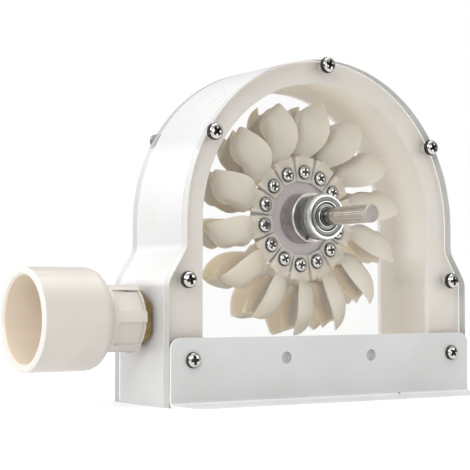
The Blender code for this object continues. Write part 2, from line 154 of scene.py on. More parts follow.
# One screw, pointing up: height and radius of its outline in millimetres, and the tool that cuts its cross
SCREW_OUTLINE = (
    (-6.5, 1.3), (-5.8, 1.9), (0.0, 1.9), (0.0, 4.4), (0.15, 4.55), (1.1, 4.55), (1.7, 4.4), (2.2, 4.05),
    (2.55, 3.55), (2.75, 2.9), (2.85, 2.0), (2.9, 0.5),
)
CROSS_ARM = 2.1 * MM
CROSS_DEPTH = 2.6 * MM
CROSS_MIDDLE = 2.3 * MM
FRONT_SCREW_SIZE = (1.0, 1.0, 1.3)
BRACKET_SCREW_SIZE = (8.4 / 9.0,) * 3
BUCKET_SCREW_SIZE = (0.88, 0.88, 0.72)
PLATE_SCREW_TURNS = (12, 40, -15, 30, 8)
BRACKET_SCREW_TURNS = (4, 45)
BUCKET_SCREW_TURN = 37

# One bucket: along the radius, across the wheel, and towards its rounded back
BUCKETS = 14
FIRST_BUCKET_ANGLE = math.radians(87)
BUCKET_MIDDLE = 0.6 * MM
TAB_FRONT = -5.6 * MM
TAB_INNER_RADIUS = 20.9 * MM
TAB_OUTER_RADIUS = 35.4 * MM
TAB_INNER_HALF_WIDTH = 4.6 * MM
TAB_OUTER_HALF_WIDTH = 6.8 * MM
TAB_SCREW_RADIUS = 26.65 * MM
SCREW_SEAT_RADIUS = 4.5 * MM
SCREW_SEAT_DEPTH = 0.9 * MM
ROOT_LENGTH = 9.5 * MM
ROOT_START_SIZE = (11.8, 9.8)
ROOT_END_SIZE = (19.2, 3.9)
ROOT_START_SHIFT = 0.3 * MM
ROOT_END_SHIFT = 1.45 * MM
LOBE_CENTRE = (50 * MM, 8.6 * MM)
LOBE_DEPTH = 14.5 * MM
LOBE_WALL = 1.5 * MM
RIM_STEP = 0.3 * MM
RIM_CREASE = 0.55
RIM_HOLD = 0.28
MEAN_RIM_HEIGHT = -6.5 * MM
DOME_SHARES = (0.92, 0.8, 0.64, 0.44, 0.22)
DOME_POWER = 2.4
DOME_ROUNDNESS = 0.6
SPLITTER_REACH = 14.6 * MM
SPLITTER_HALF_WALL = 0.8 * MM
LOBE_RIM = (
    (33.5, 3.2, 0.5), (35.4, 8.2, -2.0), (39.4, 12.8, -5.2), (44.4, 16.2, -7.5), (50.0, 17.6, -8.4),
    (55.4, 17.3, -8.3), (60.2, 15.6, -7.8), (64.4, 13.2, -7.2), (67.7, 10.3, -6.7), (65.4, 7.4, -3.6),
    (63.2, 4.6, -1.2), (63.6, 2.2, -4.0), (64.6, 0.0, -7.2), (58.0, 0.0, -7.9), (50.5, 0.0, -7.5),
    (43.5, 0.0, -5.2), (37.0, 0.0, -1.6),
)


# Modelling by hand: primitives at their size and place, shaped in edit mode


def only(piece):
    """Leaves this piece alone selected and active."""
    bpy.ops.object.select_all(action="DESELECT")
    piece.select_set(True)
    bpy.context.view_layer.objects.active = piece


def primitive(name, kind, at=(0.0, 0.0, 0.0), turn=(0.0, 0.0, 0.0), stretch=(1.0, 1.0, 1.0), **size):
    """A new primitive at its size and place, with the place moved into its mesh."""
    bpy.ops.object.select_all(action="DESELECT")
    getattr(bpy.ops.mesh, f"primitive_{kind}_add")(location=at, rotation=turn, **size)
    piece = bpy.context.object
    piece.name = piece.data.name = name
    piece.scale = stretch
    bpy.ops.object.transform_apply(location=True, rotation=True, scale=True)
    return piece


@contextmanager
def editing(piece):
    only(piece)
    bpy.ops.object.mode_set(mode="EDIT")
    bpy.ops.mesh.select_mode(type="VERT")
    bpy.ops.mesh.select_all(action="SELECT")
    yield bmesh.from_edit_mesh(piece.data)
    bpy.ops.object.mode_set(mode="OBJECT")


def choose(kind, test):
    """In edit mode, selects just those vertices, edges or faces that pass a test."""
    bpy.ops.mesh.select_mode(type=kind)
    bpy.ops.mesh.select_all(action="DESELECT")
    mesh = bpy.context.edit_object.data
    bm = bmesh.from_edit_mesh(mesh)
    parts = {"VERT": bm.verts, "EDGE": bm.edges, "FACE": bm.faces}[kind]
    for part in parts:
        if test(part):
            part.select_set(True)
    bm.select_flush_mode()
    bmesh.update_edit_mesh(mesh)


def middle(part):
    """The mean of the corners of an edge or a face."""
    return sum((corner.co for corner in part.verts), Vector()) / len(part.verts)


def draw_out(*move):
    """Extrudes what is selected by a move."""
    bpy.ops.mesh.extrude_region_move(TRANSFORM_OT_translate={"value": move})


def scale_by(factor, centre):
    factors = factor if isinstance(factor, tuple) else (factor,) * 3
    bpy.ops.transform.resize(value=factors, center_override=tuple(centre))


def face_outwards():
    bpy.ops.mesh.select_all(action="SELECT")
    bpy.ops.mesh.normals_make_consistent(inside=False)


def apply(piece, kind, **settings):
    """Adds a modifier with its settings and applies it."""
    only(piece)
    modifier = piece.modifiers.new(kind.title(), kind)
    for name, value in settings.items():
        setattr(modifier, name, value)
    bpy.ops.object.modifier_apply(modifier=modifier.name)


def carve(piece, operation, *tools):
    """Cuts, joins or trims a piece with solids, which are used up."""
    for tool in tools:
        apply(piece, "BOOLEAN", operation=operation, solver="EXACT", object=tool)
        bpy.data.objects.remove(tool, do_unlink=True)


def round_edges(piece, width, segments, sharp=30, **settings):
    apply(piece, "BEVEL", width=width, segments=segments, limit_method="ANGLE",
          angle_limit=math.radians(sharp), **settings)


def shade(piece, sharp):
    """Smooth shading, with a crease where two faces meet at a sharper angle."""
    only(piece)
    bpy.ops.object.shade_smooth_by_angle(angle=math.radians(sharp))


def soften(piece, width, segments=3):
    """Rounds the hard edges and keeps the flat faces flat in the shading."""
    round_edges(piece, width, segments, 28, use_clamp_overlap=True, miter_outer="MITER_ARC")
    shade(piece, 40)
    apply(piece, "WEIGHTED_NORMAL", keep_sharp=True)


def turned(name, axis, centre, profile, ring=True, steps=ROUND):
    """A turned piece: a circle drawn out and scaled from place to place along the axis, then closed."""
    direction = {"X": Vector((1, 0, 0)), "Y": Vector((0, 1, 0)), "Z": Vector((0, 0, 1))}[axis]
    turn = {"X": (0, RIGHT_ANGLE, 0), "Y": (RIGHT_ANGLE, 0, 0), "Z": (0, 0, 0)}[axis]
    centre = Vector(centre)
    place, radius = profile[0]
    piece = primitive(name, "circle", centre + direction * place, turn, vertices=steps, radius=radius)
    with editing(piece):
        if not ring:
            bpy.ops.mesh.edge_face_add()
            bpy.ops.mesh.select_all(action="SELECT")
        for next_place, next_radius in profile[1:]:
            draw_out(*(direction * (next_place - place)))
            if next_radius != radius:
                scale_by(next_radius / radius, centre + direction * next_place)
            place, radius = next_place, next_radius
        if ring:
            choose("EDGE", lambda edge: edge.is_boundary)
            bpy.ops.mesh.bridge_edge_loops()
        face_outwards()
    return piece


def rod(name, axis, centre, start, end, radius, steps=ROUND):
    return turned(name, axis, centre, ((start, radius), (end, radius)), ring=False, steps=steps)


def in_metres(outline):
    return tuple((place * MM, radius * MM) for place, radius in outline)


def copied(pattern, name, matrix):
    """A copy of a finished pattern with its own mesh, moved to its place."""
    piece = pattern.copy()
    piece.data = pattern.data.copy()
    piece.name = piece.data.name = name
    bpy.context.scene.collection.objects.link(piece)
    piece.data.transform(matrix)
    return piece


def cover(piece, finish, test=None):
    """Adds a finish to a piece and, where there is a test, gives it to the faces that pass."""
    piece.data.materials.append(finish.material)
    if test:
        with editing(piece):
            choose("FACE", test)
            piece.active_material_index = len(piece.data.materials) - 1
            bpy.ops.object.material_slot_assign()


def dress(piece, finish, body, slot, *nodes):
    """Gives a piece its finish, where it has none yet, and its place in the machine."""
    if finish:
        cover(piece, finish)
    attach(piece, body)
    if nodes:
        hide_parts(*nodes)


# Finishes


class Socket:
    """A value inside a node tree, so that shader maths reads as plain arithmetic."""

    def __init__(self, nodes, source):
        self.nodes, self.source = nodes, source

    def maths(self, operation, first, second):
        return self.nodes.node("ShaderNodeMath", {"operation": operation}, {0: first, 1: second})

    def __add__(self, other):
        return self.maths("ADD", self, other)

    def __radd__(self, other):
        return self.maths("ADD", other, self)

    def __sub__(self, other):
        return self.maths("SUBTRACT", self, other)

    def __rsub__(self, other):
        return self.maths("SUBTRACT", other, self)

    def __mul__(self, other):
        return self.maths("MULTIPLY", self, other)

    def __rmul__(self, other):
        return self.maths("MULTIPLY", other, self)


class Nodes:
    """A node tree, with the place or direction on which its values depend."""

    def __init__(self, tree, place):
        self.tree = tree
        self.place = self.node("ShaderNodeTexCoord", output=place)

    def node(self, kind, settings=None, inputs=None, output=0):
        """Adds a node: its settings first, then the values or links of its sockets."""
        made = self.tree.nodes.new(kind)
        for name, value in (settings or {}).items():
            setattr(made, name, value)
        for socket, value in (inputs or {}).items():
            if isinstance(value, Socket):
                self.tree.links.new(value.source, made.inputs[socket])
            else:
                target = made.inputs[socket]
                target.default_value = (*value, 1.0) if target.type == "RGBA" else value
        return Socket(self, made.outputs[output])

    def vector(self, operation, *values, output=0):
        return self.node("ShaderNodeVectorMath", {"operation": operation}, dict(enumerate(values)), output)

    def along(self, name):
        """One coordinate of the place."""
        return self.node("ShaderNodeSeparateXYZ", {}, {"Vector": self.place}, output=name)

    def step(self, value, low, high, first=0.0, last=1.0, shape="SMOOTHSTEP"):
        """The first number below the low value, the last one above the high value, a slope between them."""
        return self.node("ShaderNodeMapRange", {"interpolation_type": shape},
                         {"Value": value, "From Min": low, "From Max": high, "To Min": first, "To Max": last})


class Finish(Nodes):
    """A procedural material on object coordinates."""

    def __init__(self, name, **constants):
        self.material = bpy.data.materials.new(name)
        self.material.use_nodes = True
        super().__init__(self.material.node_tree, "Object")
        self.shader = self.tree.nodes["Principled BSDF"]
        self.body = Socket(self, self.shader.outputs[0])
        for socket, value in constants.items():
            self.shader.inputs[socket.replace("_", " ")].default_value = value

    def feed(self, **values):
        for socket, value in values.items():
            self.tree.links.new(value.source, self.shader.inputs[socket.replace("_", " ")])

    def paint_over(self, share, paint):
        """Lays another colour over the one that the finish has so far."""
        base = self.shader.inputs["Base Color"].links[0].from_socket
        self.feed(Base_Color=self.between(share, Socket(self, base), paint))

    def show(self, share, first, second):
        """Shows a mix of two shaders."""
        mixed = self.node("ShaderNodeMixShader", {}, {0: share, 1: first, 2: second})
        self.tree.links.new(mixed.source, self.tree.nodes["Material Output"].inputs["Surface"])

    def noise(self, size, detail=2.0, stretch=None):
        """Soft noise around one half, with patches of about this size."""
        place = self.vector("MULTIPLY", self.place, stretch) if stretch else self.place
        return self.node("ShaderNodeTexNoise", {}, {"Vector": place, "Scale": 1 / size, "Detail": detail})

    def between(self, share, first, second):
        """A colour between two colours."""
        return self.node("ShaderNodeMix", {"data_type": "RGBA"}, {0: share, 6: first, 7: second}, output=2)

    def bump(self, height, depth):
        return self.node("ShaderNodeBump", {}, {"Height": height, "Distance": depth, "Strength": 1.0})

    def distance(self, point, keep=(1.0, 1.0, 1.0)):
        """How far the surface is from a point, or from a line where a direction isn't kept."""
        away = self.vector("MULTIPLY", self.vector("SUBTRACT", self.place, point), keep)
        return self.vector("LENGTH", away, output="Value")


def plastic(name, light, dark, gloss, patch=40 * MM, grain=1.2 * MM, grain_depth=0.02 * MM, **constants):
    """Moulded plastic: faint cloudy colour, a fine grain and a roughness that changes from place to place."""
    finish = Finish(name, **constants)
    clouds = finish.noise(patch, 3.0)
    fine = finish.noise(grain, 3.0)
    scuffs = finish.step(finish.noise(4 * MM, 6.0, (1.0, 1.0, 4.0)), 0.62, 0.75)
    finish.feed(
        Base_Color=finish.between(finish.step(clouds, 0.35, 0.65), light, dark),
        Roughness=gloss + 0.1 * (clouds - 0.5) + 0.08 * (fine - 0.5) + 0.1 * scuffs,
        Normal=finish.bump(fine + 1.5 * clouds, grain_depth),
    )
    return finish


def turned_metal(name, light, dark, gloss, axis="Y", centre=WHEEL_CENTRE, groove=0.22 * MM, depth=0.004 * MM):
    """Metal with fine tool marks round its axis."""
    finish = Finish(name, Metallic=1.0)
    keep = {"X": (0.0, 1.0, 1.0), "Y": (1.0, 0.0, 1.0)}[axis]
    run = finish.distance(centre, keep) + 1.7 * finish.along(axis)
    marks = finish.node("ShaderNodeTexNoise", {"noise_dimensions": "1D"},
                        {"W": run, "Scale": 1 / groove, "Detail": 3.0})
    clouds = finish.noise(5 * MM, 4.0)
    finish.feed(
        Base_Color=finish.between(finish.step(clouds * 0.7 + marks * 0.3, 0.3, 0.7), light, dark),
        Roughness=gloss + 0.16 * (marks - 0.5) + 0.1 * (clouds - 0.5),
        Normal=finish.bump(marks, depth),
    )
    return finish


def white_plastic():
    return plastic("white_casing_plastic", (0.66, 0.66, 0.658), (0.64, 0.635, 0.63), 0.3,
                   Coat_Weight=0.15, Coat_Roughness=0.15)


def inner_plastic():
    # A lighter, warmer copy of the casing plastic for the inside: painted light where light comes in through
    # the window.
    return plastic("casing_inside_painted_light", (0.86, 0.82, 0.765), (0.84, 0.795, 0.735), 0.38,
                   Subsurface_Weight=0.65, Subsurface_Radius=(1.0, 0.85, 0.7), Subsurface_Scale=0.012)


def flange_plastic():
    # A darker, warmer copy of the casing plastic for the flanges behind the plates: painted shade.
    return plastic("casing_flange_painted_shade", (0.64, 0.605, 0.565), (0.61, 0.575, 0.53), 0.38,
                   Subsurface_Weight=0.4, Subsurface_Radius=(1.0, 0.85, 0.7), Subsurface_Scale=0.012)


def bracket_paint(name, light, dark):
    """Grey paint with one small dark chip on the foot."""
    finish = plastic(name, light, dark, 0.36, grain=0.8 * MM, grain_depth=0.03 * MM)
    chip = finish.step(finish.distance(PAINT_CHIP) + 0.6 * MM * finish.noise(0.8 * MM), 1.3 * MM, 0.8 * MM)
    finish.paint_over(chip, (0.10, 0.09, 0.08))
    return finish


def bracket_edge_painted_highlight():
    # A near-white copy of the paint for the cut edges: painted highlight where the edges catch the light.
    return plastic("bracket_edge_painted_highlight", (0.86, 0.86, 0.85), (0.80, 0.80, 0.79), 0.3, grain=0.8 * MM)


def cream_pvc():
    """Cream plastic, with a painted highlight on the socket's rim and painted light, lighter and warmer, on
    the wall of its bore.
    """
    finish = plastic("cream_pvc", (0.54, 0.505, 0.46), (0.515, 0.48, 0.435), 0.34, patch=25 * MM)
    bore = finish.step(finish.distance(INLET_LINE, (0.0, 1.0, 1.0)), 23.6 * MM, 22.9 * MM)
    deep = finish.step(finish.along("X"), SOCKET_SEAT + 1 * MM, SOCKET_SEAT)
    rim = finish.step(finish.along("X"), SOCKET_MOUTH + 1.4 * MM, SOCKET_MOUTH + 0.5 * MM)
    # Painted highlight: the rim is the same plastic, painted paler where it catches the light.
    finish.paint_over(rim, (0.76, 0.735, 0.69))
    # Painted light: the bore's wall up to the seat is the same plastic, painted lighter and warmer.
    finish.paint_over(bore * deep, (0.80, 0.705, 0.59))
    return finish


def bucket_plastic():
    return plastic("cream_bucket_plastic", (0.715, 0.615, 0.505), (0.685, 0.58, 0.465), 0.42,
                   patch=18 * MM, grain=0.7 * MM, grain_depth=0.03 * MM,
                   Subsurface_Weight=0.8, Subsurface_Radius=(1.0, 0.75, 0.55), Subsurface_Scale=0.013)


def disc_plastic():
    return plastic("lilac_disc_plastic", (0.50, 0.455, 0.46), (0.46, 0.42, 0.42), 0.38,
                   patch=12 * MM, grain=0.5 * MM)


def brass():
    # Darker than bright brass: painted shade where the nipple sits between the neck's collar and the casing.
    return turned_metal("nipple_brass", (0.40, 0.29, 0.13), (0.20, 0.14, 0.06), 0.24,
                        "X", INLET_LINE)


def bearing_steels():
    """The bearing steel for its edges, a darker copy with painted shade and dark reflection for its shields
    and the inner ring's face, and a darker one with painted shade for the outside of its outer ring.
    """
    return (turned_metal("bright_bearing_steel", (0.86, 0.86, 0.85), (0.72, 0.72, 0.71), 0.28),
            turned_metal("bearing_steel_painted_shade", (0.30, 0.30, 0.29), (0.20, 0.20, 0.19), 0.3),
            # A dark copy of the steel for the outside of the outer ring: painted shade.
            turned_metal("bearing_outside_painted_shade", (0.22, 0.215, 0.21), (0.15, 0.145, 0.14), 0.3))


def shaft_steel():
    """Ground steel with painted reflection streaks along the axis, and painted shade where the shaft goes
    into the bearing.
    """
    finish = turned_metal("ground_shaft_steel", (0.71, 0.68, 0.64), (0.57, 0.54, 0.505), 0.16)
    seat = finish.step(finish.along("Y"), 3 * MM, 16 * MM)
    reflection_streaks = finish.step(finish.noise(1.1 * MM, 3.0, (1.0, 0.02, 1.0)), 0.5, 0.68)
    # Painted reflection: darker streaks along the axis.
    finish.paint_over(0.55 * reflection_streaks, (0.34, 0.315, 0.29))
    # Painted shade where the shaft goes into the bearing.
    finish.paint_over(0.8 * seat, (0.13, 0.115, 0.10))
    return finish


def shaft_end_steel():
    return turned_metal("shaft_end_steel", (0.42, 0.39, 0.365), (0.36, 0.335, 0.31), 0.6)


def hub_metal():
    return turned_metal("turned_hub_metal", (0.56, 0.51, 0.515), (0.38, 0.34, 0.345), 0.32,
                        groove=0.3 * MM, depth=0.008 * MM)


def hub_face_metal():
    # A lighter copy of the hub metal for its front face: painted sheen.
    return turned_metal("hub_face_painted_sheen", (0.80, 0.78, 0.76), (0.50, 0.48, 0.46), 0.36,
                        depth=0.008 * MM)


def screw_steel():
    finish = Finish("screw_steel", Metallic=1.0)
    clouds = finish.noise(1.5 * MM, 4.0)
    finish.feed(
        Base_Color=finish.between(clouds, (0.68, 0.67, 0.65), (0.50, 0.48, 0.45)),
        Roughness=0.08 + 0.12 * clouds,
        Normal=finish.bump(finish.noise(0.3 * MM, 3.0), 0.002 * MM),
    )
    return finish


def flank_steel():
    # Near-black steel for the sides of the head and shank: painted dark reflection.
    return turned_metal("screw_flank_painted_reflection", (0.10, 0.095, 0.09), (0.05, 0.048, 0.045), 0.3)


def recess_steel():
    # Near-black steel for the cross recess: painted shade.
    finish = Finish("screw_recess_painted_shade", Metallic=0.3)
    clouds = finish.noise(1.0 * MM, 4.0)
    finish.feed(
        Base_Color=finish.between(clouds, (0.025, 0.022, 0.02), (0.05, 0.045, 0.04)),
        Roughness=0.45 + 0.2 * clouds,
        Normal=finish.bump(clouds, 0.02 * MM),
    )
    return finish


def clear_plastic(name, film, gloss_share, body_share, body_colour, cloud):
    """What is behind it shows, with a glossy surface over it and a little of the plastic's own body."""
    finish = Finish(name, Roughness=0.08)
    clouds = finish.noise(cloud, 3.0)
    finish.feed(
        Base_Color=finish.between(clouds, body_colour, tuple(0.94 * part for part in body_colour)),
        Roughness=0.03 + 0.06 * clouds,
    )
    through = finish.node("ShaderNodeBsdfTransparent", {}, {"Color": film})
    edge_on = finish.node("ShaderNodeFresnel", {}, {"IOR": 1.45})
    finish.show(body_share + gloss_share * edge_on, through, finish.body)
    return finish


def clear_face():
    return clear_plastic("clear_plate_face", (0.998, 0.998, 0.996), 0.3, 0.005, (0.85, 0.86, 0.85), 60 * MM)


def front_edge():
    return clear_plastic("acrylic_edge", (0.93, 0.95, 0.95), 0.9, 0.75, (0.64, 0.645, 0.63), 15 * MM)


def rear_edge():
    # A darker copy of the acrylic edge for the rear plate: painted shade.
    return clear_plastic("rear_acrylic_edge_painted_shade", (0.85, 0.87, 0.87), 0.9, 0.80, (0.45, 0.465, 0.455), 15 * MM)


def blind_hole_painted_shade():
    # Grey acrylic for the shallow holes behind the bracket's holes: painted shade.
    return clear_plastic("blind_hole_painted_shade", (0.93, 0.95, 0.94), 0.5, 0.8, (0.60, 0.61, 0.60), 2 * MM)


# The casing and its plates


def arch_solid(name, near, far, radius=ARCH_RADIUS, shoulders=True, inset=0.0, foot=0.0):
    """A straight solid over the casing's outline, or over a plain arch: half a disc, its foot drawn down."""
    piece = primitive(name, "circle", (0.0, near, ARCH_CENTRE_HEIGHT), (RIGHT_ANGLE, 0.0, 0.0),
                      vertices=ARCH_STEPS, radius=radius, fill_type="NGON")
    with editing(piece):
        bpy.ops.mesh.bisect(plane_co=(0.0, 0.0, ARCH_CENTRE_HEIGHT), plane_no=(0.0, 0.0, 1.0),
                            clear_inner=True)
        choose("EDGE", lambda edge: max(vert.co.z for vert in edge.verts) < ARCH_CENTRE_HEIGHT + NEAR)
        if shoulders:
            draw_out(0.0, 0.0, SHOULDER_TOP - ARCH_CENTRE_HEIGHT)
            draw_out(0.0, 0.0, SHOULDER_BOTTOM - SHOULDER_TOP)
            scale_by((BASE_HALF_WIDTH / radius, 1.0, 1.0), (0.0, near, SHOULDER_BOTTOM))
            draw_out(0.0, 0.0, foot - SHOULDER_BOTTOM)
        else:
            draw_out(0.0, 0.0, foot - ARCH_CENTRE_HEIGHT)
        choose("EDGE", lambda edge: not edge.is_boundary)
        bpy.ops.mesh.dissolve_edges(use_verts=False)
        if shoulders:
            heights = (SHOULDER_TOP, SHOULDER_BOTTOM)
            choose("VERT", lambda vert: min(abs(vert.co.z - height) for height in heights) < NEAR)
            bpy.ops.mesh.bevel(offset=SHOULDER_CUT, segments=6, affect="VERTICES")
        if inset:
            bpy.ops.mesh.select_mode(type="FACE")
            bpy.ops.mesh.select_all(action="SELECT")
            bpy.ops.mesh.inset(thickness=inset)
            bpy.ops.mesh.select_all(action="INVERT")
            bpy.ops.mesh.delete(type="FACE")
            choose("VERT", lambda vert: vert.co.z < foot + 2 * inset)
            bpy.ops.transform.translate(value=(0.0, 0.0, -3 * inset))
        bpy.ops.mesh.select_mode(type="FACE")
        bpy.ops.mesh.select_all(action="SELECT")
        draw_out(0.0, far - near, 0.0)
        face_outwards()
    return piece


def build_casing(outside, inside, flanges):
    """The channel all round with a flange in front and behind, cut from one solid; its inside is warmer and
    lighter, with painted light, its flanges warmer and darker, with painted shade.
    """
    face, flange = CASING_HALF_DEPTH - GAP, CASING_HALF_DEPTH - WALL
    piece = arch_solid("casing_moulding", CASING_PLANE - face, CASING_PLANE + face)
    channel = arch_solid("channel", CASING_PLANE - flange, CASING_PLANE + flange, inset=WALL)
    window = arch_solid("window", CASING_PLANE - 2 * face, CASING_PLANE + 2 * face, WINDOW_RADIUS,
                        shoulders=False, foot=WINDOW_FOOT)
    hole = rod("inlet_hole", "X", INLET_LINE, -BASE_HALF_WIDTH - WALL, -BASE_HALF_WIDTH + 2 * WALL,
               NIPPLE_RADIUS + GAP)
    carve(piece, "DIFFERENCE", channel, window, hole)
    soften(piece, 0.5 * MM)
    cover(piece, outside)
    # The inside faces get painted light, the flanges' faces behind the plates painted shade.
    cover(piece, inside, lambda item: item.normal.dot(middle(item) - MIDDLE_OF_INSIDE) < 0.0)
    cover(piece, flanges, lambda item: abs(item.normal.y) > 0.7
          and abs(middle(item).y - CASING_PLANE) > CASING_HALF_DEPTH - 2 * MM)
    dress(piece, None, HOUSING, "casing_plastic", "casing")


def build_plate(name, side, node, faces, edges, drilled=None):
    """A clear plate with its bearing seat and screw holes; its cut edges have a finish of their own, and
    where drilled, shallow holes behind the bracket's holes carry painted shade.
    """
    near = CASING_PLANE + side * CASING_HALF_DEPTH
    far = near + side * PLATE_THICKNESS
    reach = 2 * PLATE_THICKNESS
    piece = arch_solid(name, min(near, far), max(near, far))
    holes = [rod("bore", "Y", (0.0, near, AXIS_HEIGHT), -reach, reach, BEARING_SEAT_RADIUS, FINE_ROUND)]
    holes += [rod("screw_hole", "Y", (x, near, z), -reach, reach, PLATE_HOLE_RADIUS, 24)
              for x, z in PLATE_SCREWS]
    if drilled:
        holes += [rod("blind_hole", "Y", (x, far, z), -2 * MM, 3 * MM, BLIND_HOLE_RADIUS, 32)
                  for x, z in BRACKET_HOLES]
    carve(piece, "DIFFERENCE", *holes)
    soften(piece, 0.35 * MM, 2)
    cover(piece, faces)
    cover(piece, edges, lambda item: abs(item.normal.y) < 0.9
          and math.hypot(middle(item).x, middle(item).z - AXIS_HEIGHT) > BEARING_RADIUS + 1 * MM)
    if drilled:
        # The shallow holes behind the bracket's holes get painted shade.
        cover(piece, drilled, lambda item: item.calc_area() < BLIND_HOLE_FACE and any(
            math.hypot(middle(item).x - x, middle(item).z - z) < BLIND_HOLE_RADIUS + 0.5 * MM
            for x, z in BRACKET_HOLES))
    dress(piece, None, HOUSING, "clear_acrylic", node)


def build_bracket(finish, edges, foot):
    """A sheet folded by spinning its lower edge round the bend and drawing it forward, then made thick."""
    back = CASING_PLANE - PLATE_FACE - GAP
    toe = back - BRACKET_REACH
    upright = BRACKET_HEIGHT - BRACKET_BEND
    piece = primitive("folded_bracket", "plane", (0.0, back, BRACKET_BEND + upright / 2),
                      (RIGHT_ANGLE, 0.0, 0.0), (BASE_HALF_WIDTH, upright / 2, 1.0), size=2.0)
    with editing(piece):
        choose("EDGE", lambda edge: middle(edge).z < BRACKET_BEND + NEAR)
        bpy.ops.mesh.spin(steps=8, angle=RIGHT_ANGLE, center=(0.0, back - BRACKET_BEND, BRACKET_BEND),
                          axis=(1.0, 0.0, 0.0))
        choose("EDGE", lambda edge: max(vert.co.z for vert in edge.verts) < 0.02 * MM)
        draw_out(0.0, BRACKET_BEND - BRACKET_REACH, 0.0)
        bpy.ops.mesh.select_all(action="SELECT")
        bpy.ops.mesh.remove_doubles(threshold=0.01 * MM)
        choose("VERT", lambda vert: abs(abs(vert.co.x) - BASE_HALF_WIDTH) < NEAR
               and (vert.co.z > BRACKET_HEIGHT - NEAR or vert.co.y < toe + NEAR))
        bpy.ops.mesh.bevel(offset=BRACKET_CORNER, segments=8, affect="VERTICES")
        face_outwards()
        upper = max(bmesh.from_edit_mesh(piece.data).faces, key=lambda item: middle(item).z)
        if upper.normal.y < 0:
            bpy.ops.mesh.flip_normals()
    apply(piece, "SOLIDIFY", thickness=BRACKET_THICKNESS, offset=-1.0, use_even_offset=True)
    holes = [rod("bracket_hole", "Y", (x, back, z), -4 * MM, 4 * MM, BRACKET_HOLE_RADIUS, 40)
             for x, z in BRACKET_HOLES]
    carve(piece, "DIFFERENCE", *holes)
    soften(piece, 0.35 * MM)
    cover(piece, finish)
    # The cut edges at the ends, the top and the toe get a painted highlight.
    cover(piece, edges, lambda item:
          abs(item.normal.x) > 0.3 and abs(middle(item).x) > BASE_HALF_WIDTH - 8 * MM
          or item.normal.z > 0.3 and middle(item).z > BRACKET_HEIGHT - 7 * MM
          or item.normal.y < -0.3 and middle(item).y < 0.0)
    # The foot's upward face gets a lighter copy of the paint: painted light from above.
    cover(piece, foot, lambda item: item.normal.z > 0.6 and middle(item).z < BRACKET_BEND)
    dress(piece, None, HOUSING, "bracket_paint", "front_bracket")


# The inlet


def along_inlet(name, *profile):
    """A solid turned about the inlet's line."""
    return turned(name, "X", INLET_LINE, profile, ring=False, steps=FINE_ROUND)


def hexagon(name, start, length, radius):
    """A six-sided bar on the inlet's line."""
    piece = primitive(name, "circle", (start, CASING_PLANE, INLET_HEIGHT), (0.0, RIGHT_ANGLE, 0.0),
                      vertices=6, radius=radius, fill_type="NGON")
    with editing(piece):
        draw_out(length, 0.0, 0.0)
        face_outwards()
    return piece


def roll(piece, angle):
    """Turns a piece about the inlet's line."""
    piece.data.transform(Matrix.Translation(INLET_LINE) @ Matrix.Rotation(angle, 4, "X")
                         @ Matrix.Translation(-Vector(INLET_LINE)))


def build_adapter(finish):
    """The turned pipe socket with a rounded shoulder, and its neck with six ribs, six flats and a collar."""
    start, length = NECK_START - 1 * MM, NECK_END - NECK_START + 1 * MM
    piece = along_inlet(
        "pipe_adapter", (SOCKET_MOUTH, SOCKET_RADIUS - MOUTH_ROUNDING),
        (SOCKET_MOUTH + MOUTH_ROUNDING, SOCKET_RADIUS), *in_metres(SOCKET_SHOULDER),
        (NECK_START, NECK_CORNER_RADIUS), (NECK_START + 0.4 * MM, NECK_CORE_RADIUS),
        (NECK_END - 2 * MM, NECK_CORE_RADIUS))
    neck = hexagon("neck", start, length, NECK_FLAT_RADIUS / math.cos(math.radians(30)))
    ribs = [primitive("neck_rib", "cube", ((start + NECK_END) / 2, CASING_PLANE, INLET_HEIGHT),
                      (math.radians(60 * i), 0.0, 0.0), size=1.0,
                      stretch=(length + 0.1 * MM, 2.2 * NECK_CORNER_RADIUS, RIB_WIDTH)) for i in range(3)]
    carve(neck, "UNION", *ribs)
    roll(neck, NECK_TURN)
    trim = rod("neck_trim", "X", INLET_LINE, NECK_START - 2 * MM, NECK_END + 1 * MM, NECK_CORNER_RADIUS,
               FINE_ROUND)
    carve(neck, "INTERSECT", trim)
    collar = along_inlet(
        "neck_collar", (NECK_END - 1.6 * MM, NECK_CORE_RADIUS), (NECK_END - 1.2 * MM, COLLAR_RADIUS),
        (NECK_END - 0.3 * MM, COLLAR_RADIUS), (NECK_END + 0.05 * MM, NECK_FLAT_RADIUS))
    bore = along_inlet(
        "adapter_bore", (SOCKET_MOUTH - 1 * MM, SOCKET_BORE + 1.8 * MM),
        (SOCKET_MOUTH + 1.2 * MM, SOCKET_BORE), (SOCKET_SEAT, SOCKET_BORE - 0.4 * MM),
        (SOCKET_SEAT, NECK_BORE), (NECK_END + 4 * MM, NECK_BORE))
    carve(piece, "UNION", neck, collar)
    carve(piece, "DIFFERENCE", bore)
    soften(piece, 0.3 * MM)
    dress(piece, finish, HOUSING, "pipe_pvc", "inlet_adapter")


